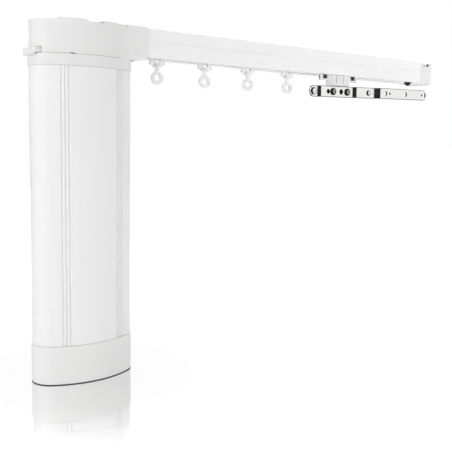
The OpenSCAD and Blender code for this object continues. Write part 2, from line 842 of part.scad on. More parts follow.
module drive_housing() color("white") at_motor() {
    difference() {
        union() {
            oval_slab(housing_inset, collar_top, housing_top);
            ceiling_pads();
            neck_flare();
            translate([neck_start, 0, 0]) along_x(neck_end - neck_start) neck_outline();
        }
        oval_slab(housing_in, collar_top - over, housing_roof);
        // Tunnel that grips the track, and the belt's passage to it
        block([half_l - track_set, -track_w / 2 - seat_gap, track_floor - seat_gap],
            [neck_end + over, track_w / 2 + seat_gap, seat_gap - neck_relief]);
        block([end_c, -track_w / 2 + passage_side, track_floor + over],
            [half_l, track_w / 2 - passage_side, housing_roof]);
        // Window of the latch, and the pry notch in the room side's lower edge
        block([-motor_l, -window_w / 2, collar_top - over],
            [-end_c, window_w / 2, latch_top + 3 * run_gap]);
        block([pry_x - pry_l / 2, -motor_d, collar_top - over], [pry_x + pry_l / 2, 0, collar_top + pry_h]);
        // Undercuts of the clip channel
        block([clip_x - clip_w / 2 - undercut_d, -motor_d, housing_top],
            [clip_x + clip_w / 2 + undercut_d, motor_d, housing_top + pad_h / 2]);
        translate([track_screw_x - motor_x, 0, 0])
            bar(track_screw_d + screw_gap, neck_bottom - over, track_floor + over);
        stub_pocket();
    }
    at_bosses() difference() {
        bar(boss_d, base_top, housing_roof + root);
        bar(boss_screw_d + seat_gap, base_top - over, base_top + boss_hole_l);
    }
    difference() {
        bar(bush_d(stub_d) + 2 * seat_wall, stub_bush_z, housing_roof + root);
        stub_pocket();
    }
}

module housing_base() color("whitesmoke") at_motor() difference() {
    union() {
        oval_slab(housing_in + seat_gap, base_bottom, base_top);
        bar(bush_d(hub_d) + 2 * seat_wall, base_top, bush_floor + bush_h);
    }
    bar(shaft_d + 4 * run_gap, base_bottom - over, bush_floor + over);
    bar(bush_d(hub_d) + seat_gap, bush_floor, bush_floor + bush_h + over);
    both_ends(stud_x) bar(stud_head_d + 4 * run_gap, base_bottom - over, base_top + over);
    at_bosses() bar(boss_screw_d + screw_gap, base_bottom - over, base_top + over);
    block([half_l - track_set - run_gap, -motor_d, base_bottom - over],
        [motor_l, motor_d, base_top + over]);
    block([-motor_l, -window_w / 2, base_bottom - over],
        [-end_c - 2 * tail_lap, window_w / 2, base_top + over]);
}

module base_screws() color("silver") at_motor() at_bosses() translate([0, 0, base_bottom])
    pan_screw(boss_screw_d, base_plate_t + boss_screw_l, 2 * boss_screw_d, head_h);

module latch_studs() color("silver") at_motor() both_ends(stud_x) {
    bar(stud_shank_d, gearbox_top + seat_gap, collar_top);
    bar(stud_d, collar_top, latch_top + run_gap);
    bar(stud_head_d, latch_top + run_gap, latch_top + run_gap + stud_head_h);
}

// Keyhole: the narrow end holds a stud's neck, and the wide end frees its head when the latch is drawn out
module keyhole() {
    circle(d = stud_d + slot_gap);
    translate([0, -(stud_d + slot_gap) / 2]) square([latch_travel, stud_d + slot_gap]);
    translate([latch_travel, 0]) circle(d = stud_head_d + slot_gap);
}

module latch_tab() translate([(tab_end - end_c) / 2, 0]) round_rect(-tab_end - end_c, latch_w, tab_round);

module motor_latch() color("white") at_motor() {
    translate([0, 0, latch_bottom]) linear_extrude(latch_t) difference() {
        union() {
            latch_tab();
            translate([-end_c - tail_lap, -tail_w / 2])
                square([end_c + tail_lap + stud_x + latch_travel + tail_end, tail_w]);
        }
        both_ends(stud_x) keyhole();
        translate([0, -shaft_d / 2 - slot_gap]) square([latch_travel, shaft_d + 2 * slot_gap]);
        circle(d = shaft_d + 2 * slot_gap);
        translate([latch_travel, 0]) circle(d = shaft_d + 2 * slot_gap);
    }
    // Thicker finger tab outside the housing, with a lip that hangs past the collar
    intersection() {
        translate([0, 0, latch_bottom - tab_lip]) linear_extrude(tab_lip + latch_t + tab_raise) latch_tab();
        union() {
            block([-motor_l, -motor_d, latch_bottom - tab_lip], [-half_l - slot_gap, motor_d, 0]);
            block([-motor_l, -motor_d, latch_bottom], [-end_c - tab_root, motor_d, 0]);
        }
    }
}

// Track and belt

function mirrored_down(side) = concat(side, [for (k = [len(side) - 1 : -1 : 0]) [side[k][0], -side[k][1]]]);
function mirrored(side) = concat(side, [for (k = [len(side) - 1 : -1 : 0]) [-side[k][0], side[k][1]]]);

module track_outline() {
    w = track_w / 2;
    low = -groove_drop - groove_w / 2;
    high = -groove_drop + groove_w / 2;
    side = [[w, track_floor], [w, low], [w - groove_d, low + groove_d], [w - groove_d, high],
        [w - draw_in / 4, high], [w - draw_in, 0]];
    difference() {
        polygon(mirrored(side));
        difference() {
            translate([-w + track_wall, lip_z]) square([track_w - 2 * track_wall, -lip_z - track_wall]);
            for (s = [-1, 1])
                translate([s * (belt_in_r - belt_tooth_h - over), -track_wall - guide_rib_h / 2])
                    square([lip_t, guide_rib_h], center = true);
        }
        translate([-slot_w / 2, track_floor - over]) square([slot_w, lip_t + 2 * over]);
    }
}

module track() color("white") difference() {
    translate([track_start, 0, 0]) along_x(track_l) track_outline();
    // Relief under the neck's roof, and the end cap's screw hole in the room-side lip
    block([track_start - over, -track_w, -neck_relief], [track_start + neck_grip + run_gap, track_w, over]);
    translate([end_screw_x, end_screw_y, 0]) bar(end_screw_d + screw_gap, track_floor - over, lip_z + over);
}

module stadium(r) {
    translate([motor_x, 0]) circle(r);
    translate([return_x, 0]) circle(r);
    translate([motor_x, -r]) square([return_x - motor_x, 2 * r]);
}

// One tooth of the belt's room-side run, rooted in the belt's back
module belt_tooth(k) translate([tooth_start + k * belt_pitch, -belt_in_r])
    polygon([[-tooth_root, -belt_t / 3], [-tooth_tip, belt_tooth_h], [tooth_tip, belt_tooth_h],
        [tooth_root, -belt_t / 3]]);

module belt() color("dimgray") translate([0, 0, belt_floor]) {
    difference() {
        linear_extrude(belt_w) stadium(belt_out_r);
        translate([0, 0, -over]) linear_extrude(belt_w + 2 * over) stadium(belt_in_r);
    }
    for (k = [0 : tooth_count - 1]) {
        linear_extrude(belt_w) belt_tooth(k);
        mirror([0, 1, 0]) linear_extrude(belt_w) belt_tooth(k);
    }
}

module track_screw() color("silver") translate([track_screw_x, 0, neck_bottom])
    pan_screw(track_screw_d, lip_z + nut_h + over - neck_bottom, track_head_d, track_head_h);

module track_nut() color("silver") translate([track_screw_x, 0, 0]) difference() {
    post(nut_l, nut_w, lip_z, lip_z + nut_h);
    bar(track_screw_d + seat_gap, lip_z - over, lip_z + nut_h + over);
}

// End cap

module end_cap() color("white") translate([track_end, 0, 0]) difference() {
    union() {
        translate([0, 0, (cap_top + cap_bottom) / 2]) along_x(end_cap_l)
            round_rect(cap_w, cap_top - cap_bottom, cap_round);
        block([-tongue_l, -tongue_w / 2, lip_z], [over, tongue_w / 2, tongue_top]);
        block([end_cap_l + foot_proud - foot_l, -cap_w / 2 + foot_proud, cap_bottom - foot_h],
            [end_cap_l + foot_proud, cap_w / 2 - foot_proud, cap_bottom + 2 * foot_h]);
    }
    block([recess_start, -cap_w, roof_z], [recess_end, cap_w, over]);
    block([-over, -track_w / 2 + end_cap_wall, cap_floor],
        [end_cap_l - end_cap_wall, track_w / 2 - end_cap_wall, roof_z - cap_roof]);
    translate([return_x - track_end, 0, 0]) bar(return_axle_d + press_gap, axle_foot, over);
    translate([end_screw_x - track_end, end_screw_y, 0])
        bar(end_screw_d + seat_gap, lip_z - over, cap_floor + over);
    translate([recess_end - over, pin_y, pin_z]) rotate([0, 90, 0])
        cylinder(d = end_pin_d + press_gap, h = over + end_pin_l);
}

module end_pin() color("dimgray") translate([track_end + recess_end - end_pin_out, pin_y, pin_z])
    rotate([0, 90, 0]) cylinder(d = end_pin_d, h = end_pin_l);

module end_cap_screw() color("dimgray") translate([end_screw_x, end_screw_y, track_floor - washer_t]) {
    mirror([0, 0, 1]) domed_head(dome_d, dome_h);
    bar(end_screw_d, 0, tongue_top + washer_t - track_floor);
}

module end_cap_washer() color("dimgray") translate([end_screw_x, end_screw_y, track_floor]) difference() {
    bar(washer_d, -washer_t, 0);
    bar(end_screw_d + seat_gap, -washer_t - over, over);
}

module return_pulley() color("whitesmoke") translate([return_x, 0, 0]) difference() {
    pulley_disc();
    bar(return_axle_d + 2 * fit_gap, pulley_bottom - over, pulley_top + over);
}

module return_axle() color("silver") translate([return_x, 0, 0]) bar(return_axle_d, axle_foot, roof_z);

// Master carrier and overlap arm

// Web behind the arm: a raised pad with two grooves, and three lugs close under the track
module carrier_web() difference() {
    union() {
        block([-web_l / 2, plate_y, arm_z - arm_h / 2 + over], [web_l / 2, plate_y + web_t, carrier_top]);
        block([-pad_half, plate_y - pad_proud, carrier_top - pad_drop],
            [pad_half, plate_y + root, carrier_top]);
        block([-pad_half, plate_y - pad_proud - lug_proud, carrier_top - lug_h],
            [pad_half, plate_y + root, carrier_top]);
    }
    both_ends(rib_x) block([-rib_w / 2, plate_y - 2 * over, carrier_top - rib_drop],
        [rib_w / 2, plate_y + rib_w, carrier_top + over]);
}

module carrier_body() color("white") difference() {
    at_carrier() {
        // Front plate with a notch at each upper corner
        difference() {
            along_y(plate_y, plate_y + plate_t) translate([0, carrier_top - plate_h / 2])
                round_rect(carrier_l, plate_h, plate_round);
            both_ends(notch_x) block([-notch_w / 2, plate_y - over, carrier_top - notch_h],
                [notch_w / 2, 0, carrier_top + over]);
            both_ends(rib_x) block([-rib_w / 2, plate_y - over, carrier_top - rib_drop],
                [rib_w / 2, plate_y + rib_w, carrier_top + over]);
        }
        carrier_web();
        // Bridge under the lip to the chassis, which stands in the slot
        block([-bridge_l / 2, plate_y + web_t - over, carrier_top - bridge_t],
            [bridge_l / 2, chassis_y, carrier_top]);
        block([-bridge_l / 2, -chassis_y, carrier_top - bridge_t],
            [bridge_l / 2, chassis_y, carrier_top + root]);
        difference() {
            block([-chassis_l / 2, -chassis_y, carrier_top], [chassis_l / 2, chassis_y, chassis_top]);
            both_ends(wheel_base / 2) translate([0, 0, axle_z])
                cross_bar(axle_d + 2 * fit_gap, -slot_w, slot_w);
            translate([0, 0, clamp_z]) cross_bar(clamp_screw_d + seat_gap, -slot_w, over);
        }
    }
    at_arm() both_ends(arm_screw_pitch / 2)
        cross_bar(arm_screw_d + seat_gap, plate_y - over, plate_y + web_t + over);
}

module carrier_buffers() color("black") at_carrier() both_ends(notch_x)
    along_y(plate_y + plate_t, plate_y + plate_t + buffer_t)
        translate([0, carrier_top - (notch_h + buffer_over) / 2])
            round_rect(notch_w + 2 * buffer_over, notch_h + buffer_over, buffer_round);

module belt_clamp() color("gainsboro") at_carrier() difference() {
    union() {
        block([-clamp_l / 2, -jaw_out, clamp_top - clamp_floor_t], [clamp_l / 2, -chassis_y, clamp_top]);
        block([-clamp_l / 2, -jaw_out, clamp_top - over],
            [clamp_l / 2, jaw_t - jaw_out, belt_z + belt_w / 2]);
        block([-clamp_l / 2, clamp_gap + belt_tooth_h - belt_in_r, clamp_top - over],
            [clamp_l / 2, -chassis_y, belt_z + belt_w / 2]);
    }
    translate([0, 0, clamp_z]) cross_bar(clamp_screw_d + screw_gap, -track_w, 0);
}

module clamp_screw() color("silver") at_carrier() translate([0, 0, clamp_z]) {
    cross_bar(clamp_head_d, -jaw_out - clamp_head_h, -jaw_out);
    cross_bar(clamp_screw_d, -jaw_out, clamp_head_h);
}

module wheel_axle(s) color("silver") at_carrier() translate([s * wheel_base / 2, 0, axle_z])
    cross_bar(axle_d, -wheel_y - wheel_w - axle_end, wheel_y + wheel_w + axle_end);

module carrier_wheels(s) color("dimgray") at_carrier() translate([s * wheel_base / 2, 0, axle_z])
    both_sides(wheel_y + wheel_w / 2) difference() {
        cross_bar(2 * wheel_r, -wheel_w / 2, wheel_w / 2);
        cross_bar(axle_d + press_gap, -wheel_w, wheel_w);
    }

// Room-side line of the arm in plan, and the same line set back by the strip's thickness
function run(k) = joggle_step[k] / tan(bend_angle);
function depth(k) = k < 0 ? plate_y - arm_t + step_1 : depth(k - 1) - joggle_step[k];
function arm_line(shift, back) = concat([[-arm_tail, depth(-1) + back]],
    [for (k = [0 : 2]) each [[joggle_at[k] + shift, depth(k - 1) + back],
        [joggle_at[k] + run(k) + shift, depth(k) + back]]],
    [[arm_reach, depth(2) + back]]);
function reversed(line) = [for (k = [len(line) - 1 : -1 : 0]) line[k]];

module arm_holes(y0, y1) {
    for (k = [0 : 1]) translate([side_hole_at[k], 0, 0]) cross_bar(side_hole_d[k], y0, y1);
    for (k = [0 : 2]) translate([hook_first + k * hook_pitch, 0, 0]) cross_bar(hook_d, y0, y1);
    for (x = pilot_at) translate([x, 0, 0]) cross_bar(pilot_d, y0, y1);
    both_ends(arm_screw_pitch / 2) cross_bar(arm_screw_d + screw_gap, y0, y1);
    for (k = [0 : 1]) translate([rivet_at[k], 0, 0]) cross_bar(rivet_d[k] + seat_gap, y0, y1);
}

module overlap_arm() color("silver") at_arm() difference() {
    intersection() {
        translate([0, 0, -arm_h / 2]) linear_extrude(arm_h)
            polygon(concat(arm_line(0, 0), reversed(arm_line(arm_t * tan(bend_angle / 2), arm_t))));
        along_y(-track_w * 2, track_w) {
            translate([(arm_reach - arm_tail) / 2, 0])
                square([arm_reach + arm_tail - arm_h, arm_h], center = true);
            translate([arm_h / 2 - arm_tail, 0]) circle(d = arm_h);
            translate([arm_reach - arm_h / 2, 0]) circle(d = arm_h);
        }
    }
    arm_holes(-track_w * 2, track_w);
}

module arm_screws() color("silver") at_arm() both_ends(arm_screw_pitch / 2)
    translate([0, plate_y - arm_t, 0]) rotate([-90, 0, 0])
        pan_screw(arm_screw_d, arm_t + web_t + root, arm_head_d, arm_head_h);

// Tail rivet on the set-back end of the strip, and the stud on its middle length
module arm_rivet() color("silver") at_arm() for (k = [0 : 1])
    translate([rivet_at[k], depth(2 * k - 1), 0]) rotate([90, 0, 0]) {
        domed_head(rivet_head_d[k], rivet_head_h[k]);
        bar(rivet_d[k], -arm_t, 0);
        bar(rivet_d[k] + 2 * rivet_tail_w, -arm_t - rivet_tail_h, -arm_t);
    }

// Gliders

module glider(k) color("white") at_glider(k) {
    half = glider_l / 2;
    translate([0, 0, lip_z + run_gap]) linear_extrude(glider_head_h)
        round_rect(glider_l, head_w, glider_round);
    both_ends(half - post_w / 2) post(post_w, post_d, bar_top, lip_z + run_gap + post_root);
    difference() {
        union() {
            along_y(-post_d / 2, post_d / 2) polygon([[-half, bar_top], [-half - wing, wing_z],
                [-half + bar_taper, bar_bottom], [half - bar_taper, bar_bottom], [half + wing, wing_z],
                [half, bar_top]]);
            bar(pin_boss_d, bar_bottom, bar_top);
        }
        bar(pin_d + 2 * fit_gap, bar_bottom - over, bar_top + over);
        bar(pin_head_d + run_gap, bar_top - pin_head_h - 2 * seat_gap, bar_top + over);
    }
}

module eye(k) color("white") at_glider(k) rotate(-eye_turn) {
    r = eye_d / 2;
    t = eye_t / 2;
    difference() {
        union() {
            translate([0, 0, eye_z]) rotate([90, 0, 0]) rotate_extrude()
                polygon([[0, -t], [r - eye_round, -t], [r, eye_round - t], [r, t - eye_round],
                    [r - eye_round, t], [0, t]]);
            bar(stem_d, eye_z + r - over, swivel_top - swivel_h);
        }
        translate([0, 0, eye_z]) cross_bar(eye_hole, -stem_d, stem_d);
    }
    bar(swivel_d, swivel_top - swivel_h, swivel_top);
    bar(pin_d, swivel_top, bar_top - pin_head_h);
    bar(pin_head_d, bar_top - pin_head_h - seat_gap, bar_top);
}

bottom_cap();
motor_sleeve();
top_collar();
cap_screws();
collar_screws();
gearbox();
gearbox_screws();
motor_can();
motor_rings();
control_board();
board_parts();
power_inlet();
inlet_contacts();
setting_button();
status_lamp();
output_shaft();
drive_pulley();
pulley_bushes();
drive_housing();
housing_base();
base_screws();
latch_studs();
motor_latch();
track();
track_screw();
track_nut();
belt();
return_pulley();
return_axle();
end_cap();
end_cap_screw();
end_cap_washer();
end_pin();
carrier_body();
carrier_buffers();
belt_clamp();
clamp_screw();
for (k = [0 : 1]) wheel_axle(2 * k - 1);
for (k = [0 : 1]) carrier_wheels(2 * k - 1);
overlap_arm();
arm_screws();
arm_rivet();
for (k = [0 : 3]) glider(k);
for (k = [0 : 3]) eye(k);
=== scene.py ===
import json
import math

import bpy
from mathutils import Matrix, Vector


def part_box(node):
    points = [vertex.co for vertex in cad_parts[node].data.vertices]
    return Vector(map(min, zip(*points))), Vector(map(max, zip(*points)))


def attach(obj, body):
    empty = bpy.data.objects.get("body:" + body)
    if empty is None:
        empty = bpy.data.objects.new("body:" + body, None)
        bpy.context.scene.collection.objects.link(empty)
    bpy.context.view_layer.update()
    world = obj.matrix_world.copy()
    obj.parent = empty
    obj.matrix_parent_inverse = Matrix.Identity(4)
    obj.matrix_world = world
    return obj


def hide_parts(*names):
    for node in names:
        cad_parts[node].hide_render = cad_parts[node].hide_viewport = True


# Motorised curtain track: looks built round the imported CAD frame, in metres

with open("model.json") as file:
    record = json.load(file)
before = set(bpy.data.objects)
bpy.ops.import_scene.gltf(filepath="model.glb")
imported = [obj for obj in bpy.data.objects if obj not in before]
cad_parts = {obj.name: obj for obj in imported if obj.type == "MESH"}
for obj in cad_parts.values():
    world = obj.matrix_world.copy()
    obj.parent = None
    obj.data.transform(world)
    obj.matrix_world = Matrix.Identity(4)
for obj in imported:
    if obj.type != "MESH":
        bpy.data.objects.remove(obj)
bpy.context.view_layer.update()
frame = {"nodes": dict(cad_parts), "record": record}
nodes = frame["nodes"]
MM = 0.001
BASE_CENTRE = (-0.2235, 0.0, 0.0)
FLOOR_Z = -276.0 * MM


# Camera of the photograph: place, aim and lens

CAMERA_PLACE = Vector((-503.5, -522.0, -85.0)) * MM
CAMERA_YAW = math.radians(39.29)
CAMERA_PITCH = math.radians(6.82)
CAMERA_ROLL = math.radians(0.96)
SENSOR = 36.0
FOCAL_PIXELS = 741.0
PHOTO_PIXELS = 452.0


def photo_camera():
    level = math.cos(CAMERA_PITCH)
    forward = Vector((math.sin(CAMERA_YAW) * level, math.cos(CAMERA_YAW) * level, -math.sin(CAMERA_PITCH)))
    right = Vector((math.cos(CAMERA_YAW), -math.sin(CAMERA_YAW), 0.0))
    up = right.cross(forward)
    side = right * math.cos(CAMERA_ROLL) + up * math.sin(CAMERA_ROLL)
    top = up * math.cos(CAMERA_ROLL) - right * math.sin(CAMERA_ROLL)
    data = bpy.data.cameras.new("photo_camera")
    data.sensor_width = SENSOR
    data.lens = SENSOR * FOCAL_PIXELS / PHOTO_PIXELS
    data.clip_start = 0.01
    data.clip_end = 50.0
    camera = bpy.data.objects.new("photo_camera", data)
    bpy.context.scene.collection.objects.link(camera)
    turn = Matrix((side, top, -forward)).transposed().to_4x4()
    camera.matrix_world = Matrix.Translation(CAMERA_PLACE) @ turn
    bpy.context.scene.camera = camera


# Materials: a value that changes over a surface, and a finish in the making


class Value:
    """One output socket, with Python's operators as Math nodes."""

    def __init__(self, finish, socket):
        self.finish = finish
        self.socket = socket

    def math(self, operation, left, right):
        made = self.finish.node("ShaderNodeMath", {"operation": operation}, {0: left, 1: right})
        return Value(self.finish, made.outputs[0])

    def __add__(self, other):
        return self.math("ADD", self, other)

    def __radd__(self, other):
        return self.math("ADD", other, self)

    def __sub__(self, other):
        return self.math("SUBTRACT", self, other)

    def __rsub__(self, other):
        return self.math("SUBTRACT", other, self)

    def __mul__(self, other):
        return self.math("MULTIPLY", self, other)

    def __rmul__(self, other):
        return self.math("MULTIPLY", other, self)

    def __pow__(self, other):
        return self.math("POWER", self, other)

    def __lt__(self, other):
        return self.math("LESS_THAN", self, other)


class Nodes:
    """A node tree in the making."""

    def __init__(self, tree):
        self.tree = tree

    def node(self, kind, settings=None, sockets=None):
        made = self.tree.nodes.new(kind)
        for name, setting in (settings or {}).items():
            setattr(made, name, setting)
        for key, content in (sockets or {}).items():
            self.feed(made.inputs[key], content)
        return made

    def feed(self, socket, content):
        if isinstance(content, Value):
            content = content.socket
        if isinstance(content, bpy.types.NodeSocket):
            self.tree.links.new(content, socket)
        else:
            socket.default_value = content

    def rise(self, value, low, high):
        """Smooth step from 0 at low to 1 at high."""
        made = self.node("ShaderNodeMapRange", {"interpolation_type": "SMOOTHSTEP"},
                         {0: value, 1: low, 2: high})
        return Value(self, made.outputs[0])

    def light_path(self, name):
        return Value(self, self.node("ShaderNodeLightPath").outputs[name])


class Finish(Nodes):
    """A material with one Principled shader, read on Object coordinates."""

    def __init__(self, name, **fixed):
        self.material = bpy.data.materials.new(name)
        self.material.use_nodes = True
        super().__init__(self.material.node_tree)
        self.shader = self.tree.nodes["Principled BSDF"]
        for socket, amount in fixed.items():
            self.shader.inputs[socket.replace("_", " ")].default_value = amount
        self.place = self.node("ShaderNodeTexCoord").outputs["Object"]

    def stretched(self, scale):
        return self.node("ShaderNodeMapping", None, {"Vector": self.place, "Scale": scale}).outputs[0]

    def noise(self, scale, detail=2.0, place=None):
        made = self.node("ShaderNodeTexNoise", None,
                         {"Vector": place or self.place, "Scale": scale, "Detail": detail})
        return Value(self, made.outputs[0])

    def cells(self, scale, feature="F1"):
        made = self.node("ShaderNodeTexVoronoi", {"feature": feature},
                         {"Vector": self.place, "Scale": scale})
        return Value(self, made.outputs["Distance"])

    def blend(self, factor, first, second):
        made = self.node("ShaderNodeMix", {"data_type": "RGBA"}, {0: factor, 6: first, 7: second})
        return made.outputs[2]

    def bump(self, height, distance, strength):
        made = self.node("ShaderNodeBump", None,
                         {"Height": height, "Distance": distance, "Strength": strength})
        return made.outputs[0]

    def set(self, **inputs):
        for socket, content in inputs.items():
            self.feed(self.shader.inputs[socket.replace("_", " ")], content)
        return self.material


def grey(level):
    return (level, level, level, 1.0)


def moulded_white():
    """Satin white moulding: fine spark-eroded grain, with faint flow clouds in its tone."""
    finish = Finish("moulded_white", IOR=1.5)
    clouds = finish.noise(14.0, 3.0)
    grain = finish.noise(2600.0, 2.0)
    tone = finish.blend(clouds, (0.775, 0.775, 0.772, 1.0), (0.8, 0.8, 0.796, 1.0))
    return finish.set(Base_Color=tone, Roughness=0.36 + 0.16 * grain,
                      Normal=finish.bump(grain, 0.02 * MM, 0.35))


def coated_white(name, tint):
    """White powder coat on extruded metal: a shallow orange peel, satin."""
    finish = Finish(name, IOR=1.5)
    peel = finish.noise(620.0, 2.0)
    clouds = finish.noise(9.0, 2.0)
    tone = finish.blend(clouds, grey(tint), grey(tint + 0.025))
    return finish.set(Base_Color=tone, Roughness=0.3 + 0.14 * peel,
                      Normal=finish.bump(peel, 0.03 * MM, 0.3))


def plated_strip():
    """Bright nickel on rolled strip: fine lines along the strip and a few handling marks."""
    finish = Finish("plated_strip", Metallic=1.0)
    lines = finish.noise(1.0, 3.0, finish.stretched((60.0, 2400.0, 2400.0)))
    marks = finish.noise(240.0, 4.0)
    tone = finish.blend(lines, (0.80, 0.80, 0.795, 1.0), (0.88, 0.875, 0.865, 1.0))
    return finish.set(Base_Color=tone, Roughness=0.05 + 0.06 * lines + 0.08 * (marks ** 3.0),
                      Normal=finish.bump(lines, 0.01 * MM, 0.25))


def sheared_edge_and_shade():
    """Near-black metal with drag lines across it: painted shade and painted reflection on the strip's cut
    edges, hole walls and the rims of its fasteners, over the duller tone of cut steel.
    """
    finish = Finish("sheared_edge_and_shade", Metallic=1.0)
    drag = finish.noise(1.0, 3.0, finish.stretched((2400.0, 90.0, 2400.0)))
    tone = finish.blend(drag, grey(0.01), grey(0.04))
    return finish.set(Base_Color=tone, Roughness=0.35 + 0.25 * drag,
                      Normal=finish.bump(drag, 0.02 * MM, 0.4))


def acetal_white_painted_light():
    """Natural acetal of the running parts: waxy and a little glossier, its clear white set lighter than the
    moulded white as painted light on them.
    """
    finish = Finish("acetal_white_painted_light", IOR=1.48)
    clouds = finish.noise(60.0, 3.0)
    grain = finish.noise(2400.0, 2.0)
    tone = finish.blend(clouds, (0.83, 0.83, 0.825, 1.0), (0.86, 0.86, 0.855, 1.0))
    return finish.set(Base_Color=tone, Roughness=0.28 + 0.14 * grain,
                      Normal=finish.bump(grain, 0.015 * MM, 0.3))


def zinc_steel():
    """Zinc-plated steel: a mottled spangle under a dull shine."""
    finish = Finish("zinc_steel", Metallic=1.0)
    spangle = finish.cells(900.0)
    tone = finish.blend(spangle, (0.5, 0.51, 0.52, 1.0), (0.62, 0.62, 0.61, 1.0))
    return finish.set(Base_Color=tone, Roughness=0.28 + 0.2 * spangle)


def black_oxide():
    """Blackened steel of the dark screws and pins: oily dark tone, worn a little to metal."""
    finish = Finish("black_oxide", Metallic=0.75)
    wear = finish.noise(700.0, 4.0)
    tone = finish.blend(wear ** 3.0, (0.012, 0.012, 0.013, 1.0), (0.09, 0.09, 0.092, 1.0))
    return finish.set(Base_Color=tone, Roughness=0.3 + 0.25 * wear)


def black_rubber():
    """Moulded rubber: matt black with a dusty bloom."""
    finish = Finish("black_rubber", IOR=1.45)
    bloom = finish.noise(500.0, 4.0)
    tone = finish.blend(bloom, (0.008, 0.008, 0.008, 1.0), (0.03, 0.03, 0.031, 1.0))
    return finish.set(Base_Color=tone, Roughness=0.55 + 0.25 * bloom,
                      Normal=finish.bump(bloom, 0.05 * MM, 0.3))


def belt_rubber():
    """Toothed belt: dark elastomer with the weave of its cords showing along it."""
    finish = Finish("belt_rubber", IOR=1.45)
    cords = finish.noise(1.0, 1.0, finish.stretched((150.0, 150.0, 2600.0)))
    tone = finish.blend(cords, (0.03, 0.03, 0.032, 1.0), (0.07, 0.07, 0.072, 1.0))
    return finish.set(Base_Color=tone, Roughness=0.6 + 0.2 * cords,
                      Normal=finish.bump(cords, 0.04 * MM, 0.4))


def grey_nylon():
    """Natural grey nylon of the pulleys, the wheels, the clamp and the base plate; on the bands in the
    motor's joints it is painted shade.
    """
    finish = Finish("grey_nylon", IOR=1.52)
    flow = finish.noise(70.0, 3.0)
    grain = finish.noise(1800.0, 2.0)
    tone = finish.blend(flow, (0.46, 0.46, 0.45, 1.0), (0.56, 0.56, 0.55, 1.0))
    return finish.set(Base_Color=tone, Roughness=0.42 + 0.16 * grain,
                      Normal=finish.bump(grain, 0.02 * MM, 0.3))


def cast_case():
    """Die-cast gearbox case: a dull grey skin with cast pitting."""
    finish = Finish("cast_case", Metallic=0.9)
    pits = finish.noise(900.0, 5.0)
    tone = finish.blend(pits, (0.28, 0.285, 0.29, 1.0), (0.42, 0.42, 0.42, 1.0))
    return finish.set(Base_Color=tone, Roughness=0.42 + 0.2 * pits,
                      Normal=finish.bump(pits, 0.08 * MM, 0.4))


def board_green():
    """Circuit board: solder mask over a net of copper tracks."""
    finish = Finish("board_green", IOR=1.5)
    net = finish.cells(260.0, "DISTANCE_TO_EDGE")
    tracks = net < 0.06
    tone = finish.blend(tracks, (0.008, 0.085, 0.03, 1.0), (0.02, 0.15, 0.055, 1.0))
    return finish.set(Base_Color=tone, Roughness=0.25 + 0.1 * tracks,
                      Normal=finish.bump(tracks, 0.04 * MM, 0.5))


def dark_moulding():
    """Dark moulded parts of the board and the power inlet."""
    finish = Finish("dark_moulding", IOR=1.5)
    grain = finish.noise(2000.0, 3.0)
    tone = finish.blend(grain, (0.012, 0.012, 0.012, 1.0), (0.03, 0.03, 0.03, 1.0))
    return finish.set(Base_Color=tone, Roughness=0.4 + 0.2 * grain,
                      Normal=finish.bump(grain, 0.02 * MM, 0.3))


def contact_brass():
    """Brass contacts, drawn bright with a little tarnish."""
    finish = Finish("contact_brass", Metallic=1.0)
    tarnish = finish.noise(600.0, 4.0)
    tone = finish.blend(tarnish, (0.72, 0.52, 0.22, 1.0), (0.5, 0.34, 0.14, 1.0))
    return finish.set(Base_Color=tone, Roughness=0.2 + 0.2 * tarnish)


def bush_bronze():
    """Sintered bronze bushes: open pores with oil in them."""
    finish = Finish("bush_bronze", Metallic=0.9)
    pores = finish.cells(2200.0)
    tone = finish.blend(pores, (0.2, 0.11, 0.05, 1.0), (0.5, 0.3, 0.14, 1.0))
    return finish.set(Base_Color=tone, Roughness=0.5 - 0.2 * pores,
                      Normal=finish.bump(pores, 0.03 * MM, 0.4))


def button_grey():
    """Grey moulded button with a fine grain."""
    finish = Finish("button_grey", IOR=1.5)
    grain = finish.noise(2200.0, 2.0)
    tone = finish.blend(grain, (0.42, 0.42, 0.42, 1.0), (0.5, 0.5, 0.5, 1.0))
    return finish.set(Base_Color=tone, Roughness=0.4 + 0.2 * grain,
                      Normal=finish.bump(grain, 0.02 * MM, 0.3))


def lamp_clear():
    """Clear light guide, milky inside."""
    finish = Finish("lamp_clear", IOR=1.49)
    haze = finish.noise(400.0, 2.0)
    tone = finish.blend(haze, (0.66, 0.74, 0.7, 1.0), (0.76, 0.82, 0.78, 1.0))
    return finish.set(Base_Color=tone, Roughness=0.12 + 0.1 * haze)


FINISH_OF_SLOT = {
    "white_plastic": moulded_white(),
    "white_coated_metal": coated_white("coated_white", 0.825),
    "nickel_plate": plated_strip(),
    "zinc_steel": zinc_steel(),
    "dark_steel": black_oxide(),
    "black_rubber": black_rubber(),
    "belt_rubber": belt_rubber(),
    "grey_nylon": grey_nylon(),
    "gear_case": cast_case(),
    "board_green": board_green(),
    "dark_plastic": dark_moulding(),
    "contact_brass": contact_brass(),
    "bush_bronze": bush_bronze(),
    "button_grey": button_grey(),
    "lamp_clear": lamp_clear(),
}
SLOT_OF_NODE = {part["node"]: part["material_slot"] for part in frame["record"]["subparts"]}
BODY_OF_NODE = {
    name: body for body, members in frame["record"]["behaviour"]["bodies"].items() for name in members
}
GLIDER_NUMBERS = range(1, 5)
FINISH_OF_NODE = {name: FINISH_OF_SLOT[slot] for name, slot in SLOT_OF_NODE.items()}
acetal_painted_light = acetal_white_painted_light()
# The track's coat is a lighter copy of the sleeve's: painted light on the track
FINISH_OF_NODE["track"] = coated_white("track_white_painted_light", 0.87)
